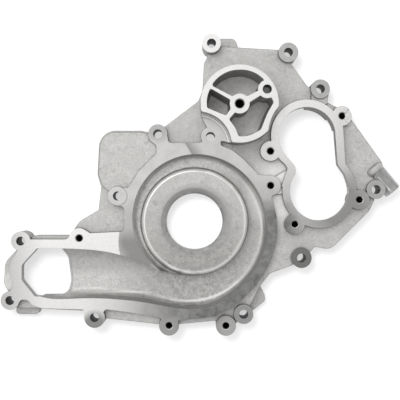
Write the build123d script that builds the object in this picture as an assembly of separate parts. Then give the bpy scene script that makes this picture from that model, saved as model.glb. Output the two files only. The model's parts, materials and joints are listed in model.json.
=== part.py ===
from build123d import *
import math
import os

# Cast aluminium water pump housing of a diesel engine, one casting with machined faces.
# It lies on its rear gasket face at z = 0 with its front up. The axis of the pump's suction
# bore is the Z axis, X runs to the right and Y runs up the front view. Lengths are in millimetres.
# The places below are drawn about a point of the plate, and the part is moved to the axis at the end.
pump_axis = (0.0, -1.3)

# Heights of the faces above the rear gasket face
pump_face = 33.0
panel_step = 2.5
web_step = 8.0
web_thickness = 6.0
chamber_rise = 25.0
tab_height = 13.0
web_face = pump_face - web_step
web_back = web_face - web_thickness
chamber_face = pump_face + chamber_rise

# Walls
gasket_rim = 7.0
volute_wall = 5.0
pear_rim = 7.5
reach = 1.0

# Bolt holes and tapped holes
bolt_hole = 9.0
tap_hole = 6.8
tap_wall = 6.6
tap_depth = 24.0
tap_chamfer = 0.8
tap_boss = tap_hole / 2 + tap_wall

# Pump bay: suction bore, impeller dish and spiral channel
suction_bore = 57.0
suction_mouth = 68.0
suction_chamfer = 3.0
suction_collar = 5.5
dish_diameter = 108.0
dish_depth = 8.0
dish_edge = 2.6
channel_start_depth = 13.0
channel_end_depth = 26.0
channel_draft = 6.0
channel_inner_fillet = 2.0
channel_fillet_share = 0.2
duct_fillet = 8.0
inner_fillet_share = 0.3
outer_fillet_share = 0.6
volute_rim = 9.5

# Round chamber with three spokes about a tapped hub
chamber_centre = (44.3, 114.6)
chamber_radius = 38.2
chamber_floor = 15.0
chamber_draft = 1.5
hub_tap = 8.8
hub_wall = 5.3
relief_centre = (26.8, 14.1)
relief_hole = 9.0
relief_wall = 4.4
relief_depth = 18.0
chamber_gap = 4.4
chamber_corner = 3.0

# Seat of the lug below the chamber: the round cut in the chamber, and steps (radius, height) at its foot
seat_centre = (3.5, 73.9)
seat_radius = 33.0
seat_steps = [(29.8, 4.0), (31.5, 9.0)]

# Pear shaped opening
pear_top = (112.5, 85.0)
pear_top_radius = 28.5
pear_bottom = (125.0, 29.5)
pear_bottom_radius = 29.5
pear_deep_walls = [(12.0, 38.0, 10.0), (38.0, 90.0, 0.0)]
spot_face = (158.5, 104.0)
spot_radius = 8.5
spot_depth = 3.5
bridge_rise = 4.0

# Sensor port that lies in the plane of the plate
port_mouth = (200.4, 29.4)
port_back = (181.9, 51.4)
port_radius = 8.8
port_bore = 9.0
port_height = 21.0
port_collar = 0.9
port_collar_length = 7.0
port_collar_round = 2.6
port_root = 6.0

# Bolt lugs: place, height above the pump face, and wall round the hole
bolt_lugs = {
    "top_left": (17.0, 176.7, 4.0, 4.9),
    "top_middle": (94.1, 168.5, -2.0, 5.4),
    "top_right": (126.2, 131.8, -2.0, 5.1),
    "right": (182.0, 31.0, -2.0, 5.0),
    "lower_right": (107.3, -37.6, -2.0, 5.6),
    "bottom_right": (49.3, -94.0, -1.5, 5.2),
    "bottom": (-100.0, -97.1, 0.0, 5.8),
    "bottom_left": (-184.7, -80.1, 0.0, 4.8),
    "left": (-173.9, -20.6, 0.0, 5.2),
    "upper_left": (-77.0, 24.5, 1.5, 5.0),
    "upper": (-36.8, 86.6, 0.0, 5.2),
    "under_chamber": (16.0, 84.0, 0.0, 5.0),
}

# Tapped bosses on the pump face and on the pear rim
pump_taps = [(-115.4, -17.7), (-25.5, -105.1), (31.5, -105.3), (76.3, 35.0)]
pear_taps = [(147.8, 104.7), (76.0, 69.5), (165.0, 20.8), (100.4, -3.7)]

# Outlines are corners (x, y, radius), in order round the shape
plate_outline = [
    (13.5, 175, 0), (12.5, 163.5, 2), (9.4, 158, 6), (7.9, 130, 20), (3.6, 120, 8), (-30, 94.5, 0),
    (-36.8, 86.5, 0), (-46, 88.7, 0), (-53, 90.3, 8), (-95.5, 90.5, 17), (-97.8, 46, 8),
    (-94, 33.5, 1), (-96.7, 10.5, 2), (-116, -1, 16), (-125.5, -15.3, 5), (-161, -15.3, 2),
    (-173.7, -20.7, 0), (-179.5, -30, 0), (-190.9, -42, 14), (-192.1, -64, 10), (-187, -73, 0),
    (-184.7, -80, 0), (-179.5, -88, 0), (-154, -89, 0), (-112, -91, 0), (-100, -96.7, 0),
    (-90.5, -98.5, 0), (-32, -105, 0), (-25.7, -100, 0), (-16.5, -104.6, 0), (20, -101.2, 0),
    (31.3, -100, 0), (41, -104.3, 2), (49.2, -97, 0), (57, -84, 0), (65.3, -67.3, 1), (76, -53.5, 6),
    (99, -45, 0), (107, -37, 0), (116, -32.5, 0), (121, -26.5, 4), (137, -29.5, 12), (176, 9.5, 10),
    (181, 20, 3), (182, 31, 0), (190, 40, 0), (188.8, 58.7, 6), (156.9, 103.2, 0), (147.8, 104.7, 0),
    (145, 113.3, 0), (131, 120, 2), (130.5, 124, 0), (126, 132, 0), (117, 132.6, 0), (113.2, 135.5, 3),
    (97.6, 157.4, 2), (100, 161, 0), (93.8, 168.7, 0), (84.5, 171.8, 0), (20, 175.5, 0),
]
top_tab = [(20, 170, 0), (20, 185, 0), (41.5, 185, 6), (45.5, 170, 0)]
corner_tab = [(-177, -80, 0), (-184, -95.8, 4), (-159.5, -95.8, 4), (-153, -80, 0)]
side_tab = [(50, -84, 0), (59.5, -92, 0), (71.8, -82, 4), (71.3, -76, 4), (66.5, -66, 0)]
panel_outline = [
    (-46, 86.5, 0), (-53, 88.3, 8), (-94, 88.5, 15.5), (-96.2, 46, 8), (-92, 34.5, 3), (-82, 26, 0),
    (-66, 26, 0), (-52, 46, 0), (-34, 66, 0), (-34, 80, 0),
]
pump_outline = [
    (-184.7, -80, 0), (-184.5, -71, 0), (-181.3, -65.5, 3), (-184.8, -55, 10), (-184.5, -43, 10),
    (-177.5, -31.5, 2), (-173.7, -20.7, 0), (-164.5, -19, 0), (-127, -19, 5), (-122.5, -10.5, 0),
    (-115.7, -17.7, 0), (-108.5, -9.5, 3), (-105, -12.8, 3), (-70.3, -11.2, 4), (-70.3, 14.2, 4),
    (-77, 14.5, 0), (-77, 24.5, 0), (-70, 33, 0), (-66.5, 32.5, 3), (-55.5, 49.5, 0), (-38, 67, 4),
    (-38, 75, 3), (-45, 80.5, 0), (-36.8, 86.5, 0), (-27, 84, 0), (-26, 77.3, 4), (7.7, 77.8, 2),
    (7.8, 87.5, 2), (12, 92.5, 2), (16, 84, 0), (34, 79.5, 0), (26, 79.3, 1), (26.3, 75.2, 2),
    (38.5, 70, 20), (50, 60.5, 20), (62, 46, 5), (80, 44.2, 0), (76.3, 35, 0), (85, 29, 1),
    (79, 26, 1), (60, 0, 0), (20, -70, 0), (22, -95.5, 0), (-15, -99.8, 0), (-25.7, -104.8, 0),
    (-34.5, -97.5, 0), (-64.5, -92, 0), (-90.5, -88.5, 4), (-91.5, -94, 0), (-100, -96.7, 0),
    (-110, -93, 0), (-110.5, -89, 3), (-152.5, -87.9, 0), (-162, -85, 8), (-167, -79.5, 4),
    (-173.5, -79, 4), (-179, -87.5, 0),
]
window_outline = [
    (-157.5, -27.8, 4), (-135.5, -27.8, 3), (-127.5, -38, 8), (-124.3, -62, 20), (-128, -76, 9),
    (-159.5, -76, 3), (-172.8, -59.5, 6), (-172.8, -44.5, 6),
]
window_foot = 4.3
bridge_outline = [
    (74, 44.4, 0), (81, 44.2, 0), (93, 51, 0), (91, 31, 0), (87.5, 26.5, 3), (79.5, 26, 1), (74, 30, 0),
]
lug_pad_outline = [(117.5, 133, 0), (117, 119, 2), (133, 116, 2), (135.2, 130.5, 2), (126, 133, 0)]
pear_waist = [
    (112.5, 85, 0), (84.4, 82, 0), (88, 69, 12), (102.8, 52, 10), (95.7, 31, 0), (125, 29.5, 0),
    (154.3, 33, 0), (150.5, 46, 6), (143.3, 56, 5), (141, 84, 0),
]
pear_skirt = [
    (112.5, 85, 0), (76.8, 80, 0), (77, 69.5, 0), (85.5, 62.5, 3), (93.5, 52.5, 4), (87, 34, 0),
    (125, 29.5, 0), (162, 33, 0), (157, 46, 4), (151, 57, 5), (148.5, 95, 0), (140, 105, 0),
]

# Chamber pockets, about the chamber's own centre
upper_pocket = [
    (-27.8, 17.6, 2.5), (-17.1, 32, 31), (12.3, 33.8, 31), (24.3, 23, 3), (18.2, 12.6, 2.5),
    (8, 7.4, 3), (-8, 7.4, 3),
]
left_pocket = [
    (-28.8, 15, 2), (-9.3, 3.8, 2), (-9, -5.5, 2), (-13.5, -11.8, 2), (-31.8, -4.3, 2), (-32.6, 5, 25),
]
lower_pocket = [
    (20, 7.8, 2.5), (10, 1.5, 2), (-5.5, -9.5, 2), (-10.6, -15.3, 2), (-4.5, -23.5, 10),
    (-1, -32.2, 2.5), (9, -31.8, 20), (20.8, -25.5, 6), (27.3, -9, 10), (33.2, 1.2, 2.5), (31, 6, 2.5),
]

# Volute: (angle, width of the spiral channel beyond the dish). Outlet duct: y of its two walls at the
# window, and (x, share, share) of each wall's way there from the end of the spiral
volute_widths = [
    (252, 6.3), (228, 5.6), (205, 6.4), (180, 8.2), (135, 11.3), (90, 13.7), (45, 15.2), (0, 19),
    (-30, 22.2), (-60, 27.7), (-80, 32.6), (-90, 33.2),
]
duct_mouth = (-27.8, -78.8)
duct_stations = [
    (-9, 0.02, 0), (-25, 0.08, 0.19), (-45, 0.35, 0.58), (-65, 0.65, 0.87), (-85, 0.85, 1.04),
    (-105, 0.95, 1.1), (-136, 1, 1), (-153.5, 1, 1.26),
]


up_from_base = (Align.CENTER, Align.CENTER, Align.MIN)


def rounded(corners):
    """A face through corners (x, y, radius), each rounded to its radius by a tangent arc."""
    arcs = []
    for index, (x, y, radius) in enumerate(corners):
        corner = Vector(x, y)
        back = (Vector(*corners[index - 1][:2]) - corner).normalized()
        on = (Vector(*corners[(index + 1) % len(corners)][:2]) - corner).normalized()
        half = math.radians(back.get_angle(on)) / 2
        cut = radius / math.tan(half)
        middle = corner + (back + on).normalized() * (radius / math.sin(half) - radius)
        arcs.append((corner + back * cut, middle, corner + on * cut, radius))
    edges = []
    for index, (start, middle, end, radius) in enumerate(arcs):
        before = arcs[index - 1][2]
        if (start - before).length > 1e-4:
            edges.append(Edge.make_line(before, start))
        if radius > 0:
            edges.append(Edge.make_three_point_arc(start, middle, end))
    return Face(Wire(edges))


def prism(face, low, high, taper=0.0):
    """A face raised from one height to another."""
    return extrude(Pos(0, 0, low) * face, high - low, dir=(0, 0, 1), taper=taper)


def round_bar(x, y, radius, low, high):
    """A vertical cylinder between two heights."""
    return Pos(x, y, low) * Cylinder(radius, high - low, align=up_from_base)


def channel_depth(share):
    """Depth of the spiral channel at a share of its way from tongue to outlet."""
    return channel_start_depth + (channel_end_depth - channel_start_depth) * share


def channel_section(plane, inner, outer, depth, rounding, grow):
    """A trough section in a plane whose x runs outwards and whose y is the height."""
    low = pump_face - depth - grow
    high = pump_face + reach if grow == 0 else web_back + reach
    lean = math.tan(math.radians(channel_draft)) * (high - low)
    left, right = inner - grow, outer + grow
    near = min(channel_inner_fillet, (outer - inner - lean) * inner_fillet_share) + grow / 2
    far = min(rounding, (outer - inner - lean) * outer_fillet_share) + grow / 2
    return plane * rounded([(left, high, 0), (left, low, near), (right - lean, low, far), (right, high, 0)])


def volute_wall_place(width, angle, extra=0.0):
    """A point at the pump face, a width beyond the dish at an angle about the dish's centre."""
    return Vector(*pump_axis) + Vector(dish_diameter / 2 + width + extra, 0).rotate(Axis.Z, angle)


def spiral_channel(grow):
    """The spiral channel round the dish, or the shell round it when grow is a wall."""
    sections = []
    rim = dish_diameter / 2
    for index, (angle, width) in enumerate(volute_widths):
        out = Vector(1, 0, 0).rotate(Axis.Z, angle)
        plane = Plane(origin=(*pump_axis, 0), x_dir=out, z_dir=out.cross(Vector(0, 0, 1)))
        depth = channel_depth(index / (len(volute_widths) - 1))
        rounding = depth * channel_fillet_share
        sections.append(channel_section(plane, rim, rim + width, depth, rounding, grow))
    return loft(sections)


def outlet_duct(grow):
    """The outlet duct from the end of the spiral to the window, or the shell round it."""
    start, top = pump_axis
    ends = [top - dish_diameter / 2, top - dish_diameter / 2 - volute_widths[-1][1]]
    first = channel_end_depth * channel_fillet_share
    sections = []
    for index, (x, *shares) in enumerate([(start, 0, 0)] + duct_stations):
        inner, outer = [y + (mouth - y) * share for y, mouth, share in zip(ends, duct_mouth, shares)]
        plane = Plane(origin=(x, 0, 0), x_dir=(0, -1, 0), z_dir=(-1, 0, 0))
        rounding = first + (duct_fillet - first) * index / len(duct_stations)
        sections.append(channel_section(plane, -inner, -outer, channel_end_depth, rounding, grow))
    return loft(sections)


def volute_flange():
    """The machined rim round the outer wall of the volute."""
    points = [volute_wall_place(width, angle, volute_rim) for angle, width in volute_widths[5:]]
    edges = [Edge.make_spline(points), Edge.make_line(points[-1], pump_axis), Edge.make_line(pump_axis, points[0])]
    return Face(Wire(edges))


def chamber_outline():
    """The round chamber, cut back round the lug below it and along the pear rim."""
    shape = Pos(*chamber_centre) * Circle(chamber_radius) - Pos(*seat_centre) * Circle(seat_radius)
    shape -= Pos(*pear_top) * Circle(pear_top_radius + pear_rim + chamber_gap)
    return fillet(shape.vertices(), chamber_corner)


def chamber_seat():
    """The seat of the lug below the chamber, level with the pump face, and the steps round it."""
    lens = Pos(*chamber_centre) * Circle(chamber_radius) & Pos(*seat_centre) * Circle(seat_radius + reach)
    solids = [prism(lens, web_back, pump_face)]
    for radius, height in seat_steps:
        solids.append(prism(lens - Pos(*seat_centre) * Circle(radius), pump_face - reach, pump_face + height))
    return solids


def pear(margin):
    """The outline of the pear opening's two round ends, wider by a margin."""
    top = Pos(*pear_top) * Circle(pear_top_radius + margin)
    return top, Pos(*pear_bottom) * Circle(pear_bottom_radius + margin)


def pear_sector(first, last):
    """A stretch of the pear's upper rim between two angles."""
    rim = pear_top_radius + pear_rim
    centre = Vector(*pear_top)
    ends = [centre + Vector(rim, 0).rotate(Axis.Z, turn) for turn in (first, (first + last) / 2, last)]
    sides = [Edge.make_line(centre, ends[0]), Edge.make_line(ends[2], centre)]
    return Face(Wire([sides[0], Edge.make_three_point_arc(*ends), sides[1]]))


def outer_body():
    """Plate, flanges, lugs and chamber before anything is cut."""
    plate = prism(rounded(plate_outline), 0, web_face)
    for tab in (top_tab, corner_tab, side_tab):
        plate += prism(rounded(tab), 0, tab_height)
    return plate


def back_hollow():
    """The space behind the web, inside the gasket rim."""
    return prism(offset(rounded(plate_outline), -gasket_rim, kind=Kind.INTERSECTION), -reach, web_back)


def front_forms():
    """What is cast onto the plate, as a list of solids."""
    forms = [spiral_channel(volute_wall), outlet_duct(volute_wall)]
    forms.append(round_bar(*pump_axis, suction_bore / 2 + suction_collar, 0, web_back + reach))
    forms += [prism(rounded(pump_outline), web_back, pump_face), prism(volute_flange(), web_back, pump_face)]
    forms.append(prism(rounded(panel_outline), web_back, pump_face - panel_step))
    forms += [*chamber_seat(), prism(chamber_outline(), chamber_floor - web_thickness, chamber_face)]
    for outline in (bridge_outline, lug_pad_outline):
        forms.append(prism(rounded(outline), web_back, web_face + bridge_rise))
    forms += [prism(face, web_back, pump_face) for face in pear(pear_rim)]
    forms.append(prism(rounded(pear_skirt), web_back, pump_face))
    for first, last, low in pear_deep_walls:
        forms.append(prism(pear_sector(first, last), low, web_back + reach))
    for x, y in pear_taps + pump_taps:
        forms.append(round_bar(x, y, tap_boss, 0, pump_face))
    for x, y, rise, wall in bolt_lugs.values():
        forms.append(round_bar(x, y, bolt_hole / 2 + wall, 0, pump_face + rise))
    return forms


def port():
    """The sensor port, a round boss that points down to the right with a collar at its root."""
    way = Vector(port_mouth[0] - port_back[0], port_mouth[1] - port_back[1], 0)
    plane = Plane(origin=(*port_back, port_height), z_dir=way)
    boss = plane * Cylinder(port_radius, way.length, align=up_from_base)
    collar = plane * Cylinder(port_radius + port_collar, port_collar_length)
    bore = plane * (Pos(0, 0, port_root) * Cylinder(port_bore / 2, way.length, align=up_from_base))
    return boss, fillet(collar.edges(), port_collar_round), bore


def pump_bay():
    """What is cut for the pump: suction bore with its flared mouth, and the impeller dish."""
    dish, top = pump_face - dish_depth, pump_face + reach
    bore, mouth, rim = suction_bore / 2, suction_mouth / 2, dish_diameter / 2
    slope = (mouth - bore) / suction_chamfer
    suction = [(0, -reach, 0), (bore, -reach, 0), (bore, dish - suction_chamfer, 0),
               (mouth + slope * reach, dish + reach, 0), (0, dish + reach, 0)]
    bowl = [(0, dish, 0), (rim - dish_edge, dish, dish_edge), (rim + reach, dish - dish_edge - reach, 0),
            (rim + reach, top, 0), (0, top, 0)]
    return [Pos(*pump_axis) * revolve(Plane.XZ * rounded(corners), Axis.Z) for corners in (suction, bowl)]


def window_mouth():
    """The foot of the outlet window, where the floor of the duct slopes down to a narrower opening."""
    middle = sum(x for x, y, radius in window_outline) / len(window_outline)
    narrow = [(x - window_foot if x > middle else x, y, radius) for x, y, radius in window_outline]
    floor = Pos(0, 0, pump_face - channel_end_depth) * rounded(window_outline)
    return loft([floor, Pos(0, 0, -reach) * rounded(narrow)])


def chamber_pockets():
    """Three pockets between the spokes, with the hub and the relief boss left standing."""
    x, y = chamber_centre
    hub = round_bar(x, y, hub_tap / 2 + hub_wall, 0, chamber_face + reach)
    relief = round_bar(x + relief_centre[0], y + relief_centre[1], relief_hole / 2 + relief_wall, 0,
                       chamber_face + reach)
    pockets = []
    for outline in (upper_pocket, left_pocket, lower_pocket):
        face = Pos(x, y, chamber_face) * rounded(outline)
        pocket = extrude(face, chamber_face - chamber_floor, dir=(0, 0, -1), taper=chamber_draft)
        pockets.append(pocket - hub - relief)
    return pockets


def holes():
    """Bolt holes, tapped holes and the two holes in the chamber."""
    cuts = []
    for x, y, rise, wall in bolt_lugs.values():
        cuts.append(round_bar(x, y, bolt_hole / 2, -reach, pump_face + rise + reach))
    cuts.append(round_bar(*spot_face, spot_radius, pump_face - spot_depth, pump_face + reach))
    x, y = chamber_centre
    taps = [(*place, tap_hole / 2, pump_face) for place in pump_taps + pear_taps]
    for tap_x, tap_y, radius, face in taps + [(x, y, hub_tap / 2, chamber_face)]:
        cuts.append(round_bar(tap_x, tap_y, radius, face - tap_depth, face + reach))
        mouth = Cone(radius, radius + tap_chamfer + reach, tap_chamfer + reach, align=up_from_base)
        cuts.append(Pos(tap_x, tap_y, face - tap_chamfer) * mouth)
    cuts.append(round_bar(x + relief_centre[0], y + relief_centre[1], relief_hole / 2,
                          chamber_face - relief_depth, chamber_face + reach))
    return cuts


def housing():
    """The whole casting."""
    boss, collar, port_hole = port()
    body = outer_body() - back_hollow()
    for form in front_forms() + [boss, collar]:
        body += form
    cuts = [*pump_bay(), spiral_channel(0), outlet_duct(0), port_hole, window_mouth()]
    cuts.append(prism(rounded(window_outline), pump_face - channel_end_depth, pump_face + reach))
    for face in (*pear(0), rounded(pear_waist)):
        cuts.append(prism(face, -reach, pump_face + reach))
    for cut in cuts + chamber_pockets() + holes():
        body -= cut
    return body


os.makedirs("parts", exist_ok=True)
part = Pos(-pump_axis[0], -pump_axis[1], 0) * housing()
export_step(part, "parts/pump_housing.step")
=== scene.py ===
"""An aluminium water pump housing lying on a white table, seen from straight above."""
import json
import math

import bmesh
import bpy
from mathutils import Matrix, Vector


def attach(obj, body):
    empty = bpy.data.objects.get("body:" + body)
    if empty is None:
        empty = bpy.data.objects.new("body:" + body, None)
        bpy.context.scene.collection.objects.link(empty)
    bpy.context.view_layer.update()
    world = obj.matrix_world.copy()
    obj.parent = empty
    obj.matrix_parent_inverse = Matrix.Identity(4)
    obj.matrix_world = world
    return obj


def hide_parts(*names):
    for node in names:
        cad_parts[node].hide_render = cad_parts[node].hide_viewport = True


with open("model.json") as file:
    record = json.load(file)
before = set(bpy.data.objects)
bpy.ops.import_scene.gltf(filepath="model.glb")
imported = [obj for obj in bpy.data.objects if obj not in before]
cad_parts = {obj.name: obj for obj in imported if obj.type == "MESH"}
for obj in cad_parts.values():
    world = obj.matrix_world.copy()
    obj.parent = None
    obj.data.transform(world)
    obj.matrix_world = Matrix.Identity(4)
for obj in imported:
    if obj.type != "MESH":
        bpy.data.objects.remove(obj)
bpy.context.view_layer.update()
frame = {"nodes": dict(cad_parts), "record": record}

MM = 0.001
HOUSING = "pump_housing"

# Heights of the machined faces above the table
PUMP_FACE = 33 * MM
CHAMBER_FACE = 58 * MM
SPOT_FACE = 29.5 * MM

# The sensor port's radius and how far to the right it starts, and the radius past which a bore is milled
PORT_RADIUS = 8.8 * MM
PORT_FROM = 180 * MM
WIDE_BORE = 20 * MM

# Upright axes in the plan, in millimetres
BORE_AXIS = (0, 0)
CHAMBER_AXIS = (44.3, 115.9)

# Radii round the suction bore, as (start, end) of each form, mark, painted highlight and painted shade in
# the pump bay
DISH_EDGE = (48 * MM, 50 * MM)
DISH_RIM = (50.7 * MM, 52.7 * MM)
DISH_FOOT = (53.9 * MM, 54.7 * MM)
TONGUE_SHADE = (53.5 * MM, 55.6 * MM)
CHANNEL_START = (54.6 * MM, 56.1 * MM)
CHANNEL_END = (63 * MM, 67 * MM)

# The painted highlight at the foot of the outer wall: its turn round the bore in radians, its radius over
# that turn, and where it runs straight along the duct
FOOT_TURN = (-2.1, 0.5)
FOOT_RADIUS = (85.7 * MM, 64.1 * MM)
FOOT_STRAIGHT = (-73 * MM, -71.8 * MM)

# How close a face lies to a height, a wall or an edge that it belongs to
FLAT = 0.02 * MM
DRILL_WALL = 0.03 * MM
PORT_WALL = 0.15 * MM
BORE_WALL = 0.4 * MM
CHAMFER = 0.85 * MM

# The upward part of a normal: more than the first on a level face, less than the others on a wall
LEVEL = 0.9999
UPRIGHT = 0.3
DRILLED_UPRIGHT = 0.1

# Tilts, from 0 on a level face to 1 on an upright one: where a wall begins, and a thread's flank
WALL_TILT = (0.75, 0.92)
FLANK_TILT = (0.18, 0.28)

# Corners closer than this are one, and edges that bend more than this stay sharp
MERGED = 0.004 * MM
SHARP = math.radians(32)

# The finishes, numbered as the casting's materials are
AS_CAST, MILLED, SPOT_FACED, DRILLED, TAPPED = range(5)

# Threads: diameter and pitch, and the drill radius below which a hole is M8, in millimetres; then the
# rings in a pitch, the corners in a ring and the plain wall left at each end
M8 = (8, 1.25)
M10 = (10, 1.5)
M8_DRILL_BELOW = 4
THREAD_STEPS = 6
THREAD_SIDES = 28
THREAD_END = 0.3 * MM

# The camera's place over the pump face in metres, its lens and its sensor
EYE = (5.5 * MM, 21.8 * MM, PUMP_FACE + 1.0)
LENS = 90
SENSOR = 36

# The table: its side in metres, its gap under the casting, its own grey and its glow to the camera
TABLE_SIDE = 12
TABLE_GAP = 0.02 * MM
TABLE_GREY = (0.35, 0.35, 0.35, 1)
TABLE_GLOW = 0.61
WHITE = (1, 1, 1, 1)


def mounts(word):
    """The record's round mounts whose names hold a word, as (place, radius, length) in metres."""
    found = []
    for mount in frame["record"]["mounts"]:
        sizes = mount["dims"]
        if word in mount["name"] and "r_mm" in sizes:
            found.append((Vector(mount["pos_m"]), sizes["r_mm"] * MM, sizes["length_mm"] * MM))
    return found


def only(piece):
    """Selects one piece alone and makes it active."""
    bpy.ops.object.select_all(action="DESELECT")
    piece.select_set(True)
    bpy.context.view_layer.objects.active = piece


def colour(code):
    """A linear colour from an sRGB hex value."""
    parts = [int(code[i:i + 2], 16) / 255 for i in (1, 3, 5)]
    return [p / 12.92 if p <= 0.04045 else ((p + 0.055) / 1.055) ** 2.4 for p in parts] + [1.0]


def add(tree, kind, inputs=(), out=0, **settings):
    """Adds one shader node and returns one of its outputs. Its inputs go by position or by name, and
    each is a number, a colour or the output of another node."""
    made = tree.nodes.new("ShaderNode" + kind)
    for name, value in settings.items():
        setattr(made, name, value)
    for name, value in (inputs if isinstance(inputs, dict) else dict(enumerate(inputs))).items():
        if isinstance(value, bpy.types.NodeSocket):
            tree.links.new(value, made.inputs[name])
        else:
            made.inputs[name].default_value = value
    return made.outputs[out]


def new_material(name):
    """An empty material, as (material, tree)."""
    made = bpy.data.materials.new(name)
    made.use_nodes = True
    made.node_tree.nodes.clear()
    return made, made.node_tree


def surface(tree, shader, output="OutputMaterial"):
    """Links a shader to the output of its material or world."""
    tree.links.new(shader, tree.nodes.new("ShaderNode" + output).inputs["Surface"])


def layered(tree, tone, *layers):
    """A tone with others laid over it in turn, each as (share, hex colour or another node's output)."""
    for share, tint in layers:
        tint = colour(tint) if isinstance(tint, str) else tint
        tone = add(tree, "Mix", {0: share, 6: tone, 7: tint}, 2, data_type="RGBA")
    return tone


def rounded_normal(tree, radius, height, distance):
    """The surface's normal with its edges rounded to a radius, and a grain of some height on top."""
    soft = add(tree, "Bevel", {"Radius": radius}, samples=6)
    return add(tree, "Bump", {"Strength": 1.0, "Distance": distance, "Height": height, "Normal": soft})


def between(tree, value, low, high, fade):
    """1 for a value between two limits, falling to 0 over a fade outside each."""
    rise = add(tree, "MapRange", (value, low - fade, low))
    return add(tree, "MapRange", (value, high, high + fade, rise, 0))


def away(tree, place, centre):
    """The distance in the plan from an upright axis through a point in millimetres."""
    flat = add(tree, "VectorMath", (place, (1, 1, 0)), operation="MULTIPLY")
    axis = (centre[0] * MM, centre[1] * MM, 0)
    return add(tree, "VectorMath", (flat, axis), "Value", operation="DISTANCE")


def near(tree, place, centre, inner, outer):
    """1 within an inner distance of a point of the plan, falling to 0 at an outer one, in millimetres."""
    return add(tree, "MapRange", (away(tree, place, centre), inner * MM, outer * MM, 1, 0))


def tilt(tree):
    """0 on a face that looks straight up or down and 1 on one that looks sideways."""
    normal = add(tree, "TexCoord", out="Normal")
    up = add(tree, "SeparateXYZ", (normal,), "Z")
    height = add(tree, "Math", (up,), operation="ABSOLUTE")
    return add(tree, "Math", (1.0, height), operation="SUBTRACT")


def steep(tree):
    """1 on an upright wall and 0 on any face that leans back."""
    return add(tree, "MapRange", (tilt(tree), *WALL_TILT))


def channel_left(tree, place, radius):
    """The spiral channel on the bore's upper left, where it is shallow and catches the light."""
    across = add(tree, "VectorMath", (place, (0.7, -0.7, 0)), "Value", operation="DOT_PRODUCT")
    left = add(tree, "MapRange", (across, -24 * MM, 16 * MM, 1, 0))
    ring = add(tree, "MapRange", (radius, *CHANNEL_START))
    ring = add(tree, "MapRange", (radius, *CHANNEL_END, ring, 0))
    return add(tree, "MapRange", (ring, 0, 1, 0, left))


def duct_floor(tree, x, y):
    """The floor of the outlet duct, which fades out where the spiral begins."""
    floor = between(tree, y, -68 * MM, -56 * MM, 9 * MM)
    return add(tree, "MapRange", (x, -90 * MM, -40 * MM, floor, 0))


def painted_foot_line(tree, x, y, radius):
    """The painted highlight along the foot of the outer wall: a spiral round the bore, then straight."""
    turn = add(tree, "Math", (y, x), operation="ARCTAN2")
    spiral = add(tree, "MapRange", (turn, *FOOT_TURN, *FOOT_RADIUS))
    past = add(tree, "Math", (radius, spiral), operation="SUBTRACT")
    line = between(tree, past, -0.7 * MM, 0.7 * MM, 0.9 * MM)
    curved = add(tree, "MapRange", (turn, 0.0, 0.9, line, 0))
    curved = add(tree, "MapRange", (turn, -2.12, -1.75, 0, curved))
    straight = between(tree, y, *FOOT_STRAIGHT, 0.9 * MM)
    straight = add(tree, "MapRange", (x, -66 * MM, -36 * MM, straight, 0))
    straight = add(tree, "MapRange", (x, -132 * MM, -100 * MM, 0, straight))
    return add(tree, "Math", (curved, straight), operation="MAXIMUM")


def painted_tongue_shade(tree, place, radius):
    """Painted shade at the spiral's tongue: round the foot of the dish, and on along the duct's edge as a
    painted shadow line.
    """
    dish_foot = between(tree, radius, *TONGUE_SHADE, 1.2 * MM)
    tongue_shade = add(tree, "MapRange", (near(tree, place, (-14, -54), 12, 34), 0, 1, 0, dish_foot))
    across = add(tree, "VectorMath", (place, (0.34, 0.94, 0)), "Value", operation="DOT_PRODUCT")
    duct_edge = between(tree, across, -57.6 * MM, -56.2 * MM, 1.3 * MM)
    shadow_line = add(tree, "MapRange", (near(tree, place, (-40, -45), 14, 30), 0, 1, 0, duct_edge))
    return add(tree, "Math", (tongue_shade, shadow_line), operation="MAXIMUM")


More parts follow.
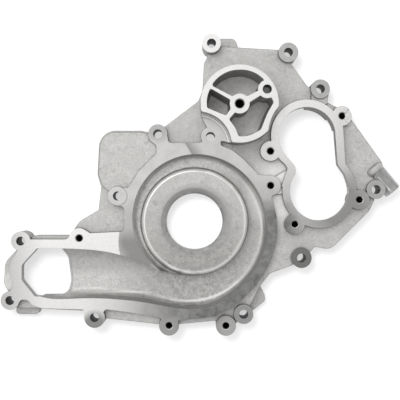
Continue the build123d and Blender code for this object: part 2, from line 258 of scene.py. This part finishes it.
def as_cast():
    """Sand cast aluminium, shot blasted: matt light grey with a soft grain and cloudy stains, with painted
    shade on the walls, along edges and in the corners, and painted light and painted highlights on some
    floors and rims."""
    made, tree = new_material("cast_aluminium_blasted")
    place = add(tree, "TexCoord", out="Object")
    x, y = add(tree, "SeparateXYZ", (place,)).node.outputs[:2]
    radius = away(tree, place, BORE_AXIS)
    # Marks by size in millimetres, detail, roughness and twist
    grain, cloud, stain, worn, specks = (
        add(tree, "TexNoise", {"Vector": place, "Scale": 1 / (size * MM), "Detail": detail,
                               "Roughness": rough, "Distortion": twist}, "Fac")
        for size, detail, rough, twist in ((1.3, 3, 0.6, 0), (14, 4, 0.6, 0.5), (7, 4, 0.65, 1.2),
                                           (5, 6, 0.75, 0.3), (2, 4, 0.75, 0.8)))

    # The blasted metal, with painted light on the floors of the channel's left, the duct and the chamber
    channel = channel_left(tree, place, radius)
    chamber = near(tree, place, CHAMBER_AXIS, 37, 39)
    tone = layered(
        tree, colour("#cac9c7"),
        (add(tree, "MapRange", (cloud, 0.35, 0.65)), "#dad9d7"),
        (channel, "#f4f3f1"),
        (add(tree, "MapRange", (duct_floor(tree, x, y), 0, 1, 0, 0.8)), "#efeeec"),
        (add(tree, "MapRange", (chamber, 0, 1, 0, 0.85)), "#efeeec"),
        (add(tree, "MapRange", (grain, 0.3, 0.6, 0.5, 0)), "#a8a7a5"),
        (add(tree, "MapRange", (stain, 0.54, 0.7, 0, 0.4)), "#929190"))

    # The dish, darker towards its lower side, and painted light in two recesses: the chamber, and the web
    # by the pear
    dish = add(tree, "MapRange", (y, -50 * MM, 30 * MM, 0.5, 0))
    dish = add(tree, "MapRange", (radius, *DISH_EDGE, dish, 0))
    painted_light_recess = add(tree, "MapRange", (chamber, 0, 1, 0, 0.8))
    painted_light_recess = add(tree, "Math", (painted_light_recess, near(tree, place, (88, 30), 22, 42)), operation="MAXIMUM")
    tone = layered(tree, tone, (dish, "#93928f"),
                   (add(tree, "MapRange", (painted_light_recess, 0, 1, 0, 0.85)), "#fbfaf8"))

    # Wear and dark specks, most of them low in the spiral, and painted shade in the mouth of the suction
    # bore, heaviest on its upper right
    low = add(tree, "MapRange", (chamber, 0, 1, near(tree, place, (4, -48), 28, 66), 0.2))
    wear = add(tree, "MapRange", (worn, 0.42, 0.72, 0, add(tree, "MapRange", (low, 0, 1, 0.12, 0.5))))
    clusters = add(tree, "MapRange", (worn, 0.42, 0.6, 0, add(tree, "MapRange", (low, 0, 1, 0.1, 0.8))))
    specks = add(tree, "MapRange", (specks, 0.52, 0.66, 0, clusters))
    shaded_side = add(tree, "VectorMath", (place, (0.7, 0.7, 0)), "Value", operation="DOT_PRODUCT")
    shaded_side = add(tree, "MapRange", (shaded_side, -26 * MM, 26 * MM, 0.3, 0.8))
    # Painted shade round the mouth of the suction bore
    mouth = add(tree, "MapRange", (near(tree, place, BORE_AXIS, 30, 40), 0, 1, 0, shaded_side))
    tone = layered(tree, tone, (wear, "#737270"), (specks, "#5f5e5d"), (mouth, "#8f8e8d"))

    # Painted shade on walls and along edges, thin in the left of the channel
    wall_shade = add(tree, "MapRange", (near(tree, place, (130, 92), 22, 40), 0, 1, 0.6, 0.9))
    wall_shade = add(tree, "MapRange", (channel, 0, 1, wall_shade, 0.1))
    soft = add(tree, "Bevel", {"Radius": 1.3 * MM}, samples=6)
    true = add(tree, "NewGeometry", out="Normal")
    # Painted shade along edges, where the rounded normal turns away from the true one
    edge = add(tree, "VectorMath", (soft, true), "Value", operation="DOT_PRODUCT")
    tone = layered(tree, tone,
                   (add(tree, "MapRange", (steep(tree), 0, 1, 0, wall_shade)), "#5f5e5d"),
                   (add(tree, "MapRange", (edge, 0.8, 0.99, 0.85, 0)), "#5f5e5d"))

    # Painted highlights on the dish's rim and at the outer wall's foot, painted shade where the dish meets
    # the channel, in the corners and at the tongue
    rim_highlight = between(tree, radius, *DISH_RIM, 0.8 * MM)
    foot_highlight = add(tree, "MapRange", (painted_foot_line(tree, x, y, radius), 0, 1, 0, 0.7))
    # Painted shade at the dish's foot, where it meets the channel
    foot = between(tree, radius, *DISH_FOOT, 0.7 * MM)
    # Painted shade in the corners, from ambient occlusion
    corner = add(tree, "AmbientOcclusion", {"Distance": 2.0 * MM}, "AO", samples=6, only_local=True)
    corner_shade = add(tree, "MapRange", (corner, 0.42, 0.9, add(tree, "MapRange", (channel, 0, 1, 0.6, 0.2)), 0))
    # Painted shade at the spiral's tongue
    tongue_shade = painted_tongue_shade(tree, place, radius)
    tone = layered(tree, tone, (rim_highlight, "#f6f5f3"), (foot_highlight, "#f6f5f3"),
                   (add(tree, "MapRange", (foot, 0, 1, 0, 0.5)), "#6f6e6d"), (corner_shade, "#585756"),
                   (add(tree, "MapRange", (tongue_shade, 0, 1, 0, 0.75)), "#868584"))

    normal = add(tree, "Bump", {"Strength": 1.0, "Distance": 0.18 * MM, "Height": grain, "Normal": soft})
    rough = add(tree, "MapRange", (cloud, 0.3, 0.7, 0.5, 0.6))
    rough = add(tree, "MapRange", (rim_highlight, 0, 1, rough, 0.38))
    surface(tree, add(tree, "BsdfPrincipled", {"Base Color": tone, "Metallic": 0.65, "Roughness": rough,
                                               "Normal": normal}))
    return made


def smeared(tree, place, tone, *patches):
    """A tone with soft patches laid over it, each as (x, y, inner, outer, tint), in millimetres."""
    return layered(tree, tone, *((near(tree, place, (x, y), inner, outer), tint)
                                 for x, y, inner, outer, tint in patches))


def milled():
    """The same alloy face milled in passes: glossy, with faint cutter marks, each pass with its own tone,
    and with painted reflection and painted shade laid over it.
    The cutter's arcs are drawn far coarser than its real feed, so that they show."""
    made, tree = new_material("aluminium_face_milled")
    place = add(tree, "TexCoord", out="Object")
    x, y, z = add(tree, "SeparateXYZ", (place,)).node.outputs
    # Marks by size in millimetres, detail, roughness and twist
    smear, speck, blotch = (
        add(tree, "TexNoise", {"Vector": place, "Scale": 1 / (size * MM), "Detail": detail,
                               "Roughness": rough, "Distortion": twist}, "Fac")
        for size, detail, rough, twist in ((12, 3, 0.55, 0), (1.6, 3, 0.6, 0), (9, 4, 0.6, 1)))
    tone = layered(tree, colour("#bcbab9"), (add(tree, "MapRange", (smear, 0.3, 0.7)), "#c9c8c7"))

    # Dark, blotched patches of painted reflection, and greyer patches beside the channel and at the pear's
    # foot
    dark_reflection = layered(tree, colour("#6d6d6c"), (add(tree, "MapRange", (blotch, 0.35, 0.65)), "#8c8c8b"))
    tone = smeared(tree, place, tone,
                   (48, -56, 38, 98, dark_reflection), (80, -4, 12, 29, dark_reflection), (12, -96, 14, 95, dark_reflection),
                   (-62, -20, 9, 24, "#8d8c8b"), (-55, -38, 10, 18, "#8d8c8b"),
                   (-66, 2, 6, 22, "#b3b2b1"), (148, 14, 18, 44, "#959493"))

    # Painted shade at the step between two passes above the channel, which fades out to the right
    lap = add(tree, "VectorMath", (place, (1, 0.62, 0)), "Value", operation="DOT_PRODUCT")
    shade = add(tree, "MapRange", (lap, 40 * MM, 54 * MM, 0.75, 0))
    shade = add(tree, "MapRange", (lap, 38.8 * MM, 39.6 * MM, 0, shade))
    shade = add(tree, "MapRange", (y, 61 * MM, 64 * MM, 0, shade))

    # The newest passes, brighter in their own tone and in a painted reflection: the flange above and below
    # the duct, the top of the pear and the chamber. The flange's far end is darker again, a painted dark
    # reflection
    cutter_edge = add(tree, "MapRange", (x, -58 * MM, -52 * MM, 1, 0))
    upper = add(tree, "MapRange", (away(tree, place, (-28, -20)), 47.6 * MM, 48.4 * MM, 0, cutter_edge))
    lower = add(tree, "MapRange", (x, -112 * MM, -48 * MM, 1, 0))
    newest_pass_and_sheen = add(tree, "MapRange", (y, -64 * MM, -58 * MM))
    newest_pass_and_sheen = add(tree, "MapRange", (newest_pass_and_sheen, 0, 1, lower, upper))
    tone = layered(tree, tone, (shade, "#777675"),
                   (add(tree, "MapRange", (y, 2 * MM, 6 * MM, newest_pass_and_sheen, 0)), "#e5e4e3"),
                   (near(tree, place, (104, 118), 30, 92), "#e5e4e3"),
                   (add(tree, "MapRange", (z, 34.6 * MM, 36 * MM, 0, 0.85)), "#e5e4e3"),
                   (add(tree, "MapRange", (x, -190 * MM, -150 * MM, 0.62, 0)), "#9d9c9a"))

    # Stains round some of the lugs and bosses, and fine specks all over
    tone = smeared(tree, place, tone,
                   (-100, -104, 9, 17, "#8c8c8b"), (34, -106, 7, 18, "#adacab"),
                   (-26, -106, 6, 14, "#a09f9e"), (-37, 92, 8, 15, "#a9a8a7"))
    tone = layered(tree, tone, (add(tree, "MapRange", (speck, 0.4, 0.8, 0, 0.2)), "#9f9e9d"))

    cutter = add(tree, "Mapping", {"Vector": place, "Location": (0.05, 0.31, 0)})
    arcs = add(tree, "TexWave", {"Vector": cutter, "Scale": 0.1 / (1.6 * MM), "Distortion": 1.2,
                                 "Detail": 2.0, "Detail Scale": 1.5}, "Fac",
               wave_type="RINGS", rings_direction="Z")
    rough = add(tree, "MapRange", (smear, 0.3, 0.7, 0.3, 0.38))
    normal = rounded_normal(tree, 0.35 * MM, arcs, 0.008 * MM)
    surface(tree, add(tree, "BsdfPrincipled", {"Base Color": tone, "Metallic": 1.0, "Roughness": rough,
                                               "Normal": normal}))
    return made


def spot_faced():
    """The lugs' own faces, cut with a spot facer: duller than the joint face, and on the pear's upper
    right boss bright in ragged patches."""
    made, tree = new_material("aluminium_spot_faced")
    place = add(tree, "TexCoord", out="Object")
    # Marks by size in millimetres, detail, roughness and twist
    smear, ragged_noise, marks = (
        add(tree, "TexNoise", {"Vector": place, "Scale": 1 / (size * MM), "Detail": detail,
                               "Roughness": rough, "Distortion": twist}, "Fac")
        for size, detail, rough, twist in ((5, 3, 0.6, 0), (1.1, 3, 0.7, 2), (1.2, 2, 0.5, 0)))
    tone = layered(tree, colour("#a9a9a8"), (add(tree, "MapRange", (smear, 0.3, 0.7)), "#babab9"))
    ragged_bright = layered(tree, colour("#a8a8a7"), (add(tree, "MapRange", (ragged_noise, 0.36, 0.6)), "#f2f2f1"))
    tone = smeared(tree, place, tone, (108, -36, 12, 50, "#7a7a78"), (49, -93, 8, 14, "#999998"),
                   (158.5, 105.3, 7.5, 9, ragged_bright))
    normal = rounded_normal(tree, 0.35 * MM, marks, 0.03 * MM)
    surface(tree, add(tree, "BsdfPrincipled", {"Base Color": tone, "Metallic": 1.0, "Roughness": 0.36,
                                               "Normal": normal}))
    return made


def drilled():
    """Drilled walls: fine rings round the axis, drawn coarser than real so that they show, and dark
    where no light falls. Their chamfers are bright."""
    made, tree = new_material("aluminium_drilled")
    place = add(tree, "TexCoord", out="Object")
    rings = add(tree, "TexWave", {"Vector": place, "Scale": 0.1 / (0.9 * MM), "Distortion": 0.4,
                                  "Detail": 1.0}, "Fac", wave_type="BANDS", bands_direction="Z")
    wall = layered(tree, colour("#3c3c3b"), (add(tree, "MapRange", (rings, 0.2, 0.8)), "#5c5c5a"))
    tone = layered(tree, colour("#cfcfce"), (steep(tree), wall))
    metallic = add(tree, "MapRange", (steep(tree), 0, 1, 1, 0.2))
    normal = rounded_normal(tree, 0.3 * MM, rings, 0.03 * MM)
    surface(tree, add(tree, "BsdfPrincipled", {"Base Color": tone, "Metallic": metallic, "Roughness": 0.5,
                                               "Specular IOR Level": 0.2, "Normal": normal}))
    return made


def tapped():
    """The threads of the tapped holes, and their drill points, painted nearly black as the shade at a
    blind hole's foot.
    """
    made, tree = new_material("aluminium_tapped")
    place = add(tree, "TexCoord", out="Object")
    grime = add(tree, "TexNoise", {"Vector": place, "Scale": 1 / (1.5 * MM), "Detail": 3}, "Fac")
    thread = layered(tree, colour("#7d7d7c"), (add(tree, "MapRange", (grime, 0.35, 0.65)), "#959594"))
    flank = add(tree, "MapRange", (tilt(tree), *FLANK_TILT))
    # The drill point is painted nearly black as shade
    tone = layered(tree, colour("#171716"), (flank, thread))
    normal = rounded_normal(tree, 0.08 * MM, grime, 0.02 * MM)
    surface(tree, add(tree, "BsdfPrincipled", {"Base Color": tone, "Metallic": 1.0, "Roughness": 0.45,
                                               "Normal": normal}))
    return made


def tapped_holes():
    """Each tapped hole, as (its frame in the housing's, drill radius, thread radius, pitch) in metres."""
    for mount in frame["record"]["mounts"]:
        if mount["kind"] == "threaded_hole":
            turned = Vector(mount["axis"]).to_track_quat("Z", "Y").to_matrix().to_4x4()
            drill = mount["dims"]["r_mm"]
            size, pitch = M8 if drill < M8_DRILL_BELOW else M10
            yield Matrix.Translation(mount["pos_m"]) @ turned, drill * MM, size / 2 * MM, pitch * MM


def thread_rings(shell, hole, drill, outer, pitch, top, foot):
    """Rings of new corners down a tapped hole, on a thread that runs out at both of its ends."""
    rings = []
    steps = round((top - foot) / pitch * THREAD_STEPS)
    for step in range(steps + 1):
        height = top + (foot - top) * step / steps
        depth = (outer - drill) * min(1, (top - height) / pitch, (height - foot) / pitch)
        ring = []
        for side in range(THREAD_SIDES):
            share = side / THREAD_SIDES
            radius = drill + depth * (1 - abs(2 * ((height / pitch - share) % 1) - 1))
            place = (radius * math.cos(math.tau * share), radius * math.sin(math.tau * share), height)
            ring.append(shell.verts.new(hole @ Vector(place)))
        rings.append(ring)
    return rings


def cut_threads(mesh):
    """Turns the plain wall of each tapped hole into a real thread."""
    shell = bmesh.new()
    shell.from_mesh(mesh)
    for hole, drill, outer, pitch in tapped_holes():
        into = hole.inverted()
        turned = into.to_3x3()
        near_wall = {v for v in shell.verts if abs((into @ v.co).xy.length - drill) < DRILL_WALL}
        wall = {f for f in shell.faces
                if near_wall.issuperset(f.verts) and abs((turned @ f.normal).z) < DRILLED_UPRIGHT}
        rims = [e for e in {e for f in wall for e in f.edges} if len(wall.intersection(e.link_faces)) == 1]
        heights = {v: (into @ v.co).z for e in rims for v in e.verts}
        middle = (max(heights.values()) + min(heights.values())) / 2
        mouth = [e for e in rims if heights[e.verts[0]] > middle]
        floor = [e for e in rims if heights[e.verts[0]] < middle]
        bmesh.ops.delete(shell, geom=list(wall), context="FACES_ONLY")
        top = min(z for z in heights.values() if z > middle) - THREAD_END
        foot = max(z for z in heights.values() if z < middle) + THREAD_END
        rings = thread_rings(shell, hole, drill, outer, pitch, top, foot)
        made = [shell.faces.new((above[i - 1], above[i], below[i], below[i - 1]))
                for above, below in zip(rings, rings[1:]) for i in range(THREAD_SIDES)]
        for rim, ring in ((mouth, rings[0]), (floor, rings[-1])):
            loop = [shell.edges.get((ring[i - 1], ring[i])) for i in range(THREAD_SIDES)]
            made += bmesh.ops.bridge_loops(shell, edges=rim + loop)["faces"]
        for face in made:
            face.material_index = TAPPED
            face.normal_update()
            if (turned @ face.normal).xy.dot((into @ face.calc_center_median()).xy) > 0:
                face.normal_flip()
    shell.to_mesh(mesh)
    shell.free()


def shade_faces(mesh):
    """Shades the fillets smooth and keeps flat faces flat, so that no tone runs across them."""
    shell = bmesh.new()
    shell.from_mesh(mesh)
    for face in shell.faces:
        face.smooth = True
    for edge in shell.edges:
        flat = [abs(face.normal.z) > LEVEL for face in edge.link_faces]
        bent = edge.calc_face_angle(math.pi) > SHARP
        edge.smooth = not (bent or any(flat) and not all(flat))
    shell.to_mesh(mesh)
    shell.free()


def on_port(place):
    """Whether a place is on the round boss of the sensor port."""
    port = next(mount for mount in frame["record"]["mounts"] if mount["name"] == "sensor_port")
    from_axis = (place - Vector(port["pos_m"])).cross(Vector(port["axis"])).length
    return place.x > PORT_FROM and abs(from_axis - PORT_RADIUS) < PORT_WALL


def finish_of(face, lugs, bores, taps):
    """The finish of a face, from where it lies and where it looks."""
    up, level, plan = face.normal.z, face.center.z, face.center.xy
    if up < -LEVEL:
        return MILLED if level < FLAT else AS_CAST
    if any((plan - centre).length < radius + FLAT for centre, radius in taps):
        return TAPPED
    if up > LEVEL and any(abs(level - height) < FLAT for height in (PUMP_FACE, CHAMBER_FACE)):
        return MILLED
    if up > LEVEL and any(abs(level - height) < FLAT for height in lugs):
        return MILLED if level > PUMP_FACE else SPOT_FACED
    reach = BORE_WALL if abs(up) < UPRIGHT else CHAMFER
    for centre, radius in bores:
        if abs((plan - centre).length - radius) < reach:
            return MILLED if radius > WIDE_BORE else DRILLED
    return AS_CAST


def casting():
    """The casting: the solid merged, threaded and smoothed, with each face given its real finish."""
    piece = bpy.data.objects.new("casting", frame["nodes"][HOUSING].data.copy())
    bpy.context.scene.collection.objects.link(piece)
    only(piece)
    bpy.ops.object.mode_set(mode="EDIT")
    bpy.ops.mesh.select_all(action="SELECT")
    bpy.ops.mesh.remove_doubles(threshold=MERGED)
    bpy.ops.object.mode_set(mode="OBJECT")
    mesh = piece.data
    mesh.materials.clear()
    for material in (as_cast(), milled(), spot_faced(), drilled(), tapped()):
        mesh.materials.append(material)
    cut_threads(mesh)
    shade_faces(mesh)
    taps = [(place.xy, radius) for place, radius, length in mounts("tap")]
    bores = [(place.xy, radius) for place, radius, length in mounts("")]
    lugs = {length for place, radius, length in mounts("bolt_")} | {SPOT_FACE}
    for face in mesh.polygons:
        if face.material_index != TAPPED:
            face.material_index = finish_of(face, lugs, bores, taps)
        if on_port(face.center):
            face.material_index = SPOT_FACED
    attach(piece, "root")
    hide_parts(HOUSING)


def table():
    """A table that is white to the camera and to the metal, and that takes the casting's shadow."""
    bpy.ops.mesh.primitive_plane_add(size=TABLE_SIDE, location=(0, 0, -TABLE_GAP))
    top = bpy.context.active_object
    top.name = "table"
    made, tree = new_material("white_table")
    path = add(tree, "LightPath").node.outputs
    seen = add(tree, "Math", (path["Is Camera Ray"], path["Is Glossy Ray"]), operation="MAXIMUM")
    matt = add(tree, "BsdfDiffuse", {"Color": TABLE_GREY})
    glow = add(tree, "MapRange", (seen, 0, 1, 0, TABLE_GLOW))
    glow = add(tree, "Emission", {"Color": WHITE, "Strength": glow})
    surface(tree, add(tree, "AddShader", (matt, glow)))
    top.data.materials.append(made)
    return top


def surroundings():
    """A light tent: bright cloth all round, under a roof that is brighter to the top left."""
    world = bpy.data.worlds.new("studio")
    bpy.context.scene.world = world
    world.use_nodes = True
    tree = world.node_tree
    tree.nodes.clear()
    way = add(tree, "TexCoord", out="Generated")
    up = add(tree, "SeparateXYZ", (way,), "Z")
    lean = add(tree, "VectorMath", (way, (-0.45, 0.5, 0.74)), "Value", operation="DOT_PRODUCT")
    front = add(tree, "VectorMath", (way, (-0.16, 0.16, 0.974)), "Value", operation="DOT_PRODUCT")
    cloth = add(tree, "MapRange", (lean, -0.3, 0.8, 0.5, 1.25))
    cloth = add(tree, "MapRange", (up, 0.05, 0.35, 0.15, cloth))
    roof = add(tree, "MapRange", (front, 0.8, 0.99, 0.45, 1.22))
    level = add(tree, "MapRange", (up, 0.7, 0.9))
    level = add(tree, "MapRange", (level, 0, 1, cloth, roof))
    tent = add(tree, "Background", {"Color": WHITE, "Strength": level})
    white = add(tree, "Background", {"Color": WHITE, "Strength": 1.0})
    path = add(tree, "LightPath", out="Is Camera Ray")
    surface(tree, add(tree, "MixShader", (path, tent, white)), "OutputWorld")


def lamp(name, place, size, power):
    """A square soft box that faces the bore."""
    light = bpy.data.lights.new(name, "AREA")
    light.shape = "SQUARE"
    light.size = size
    light.energy = power
    box = bpy.data.objects.new(name, light)
    box.location = place
    box.rotation_euler = (-Vector(place)).to_track_quat("-Z", "Y").to_euler()
    bpy.context.scene.collection.objects.link(box)
    return box


def lamps(top):
    """A weak key lamp, and a lamp that lights the table alone and draws the soft shadow on it."""
    lamp("key", place=(-0.6, 0.6, 1.7), size=0.4, power=3.2)
    shadow = lamp("shadow", place=(-0.26, 0.4, 1.5), size=0.4, power=19.0)
    lit = bpy.data.collections.new("lit_by_shadow_lamp")
    lit.objects.link(top)
    shadow.light_linking.receiver_collection = lit


def camera():
    """The camera, straight above the casting, with 400 mm across the picture at the pump face."""
    view = bpy.data.cameras.new("camera")
    view.sensor_width = SENSOR
    view.lens = LENS
    eye = bpy.data.objects.new("camera", view)
    eye.location = EYE
    bpy.context.scene.collection.objects.link(eye)
    bpy.context.scene.camera = eye


bpy.context.scene.view_settings.view_transform = "Standard"
camera()
casting()
lamps(table())
surroundings()
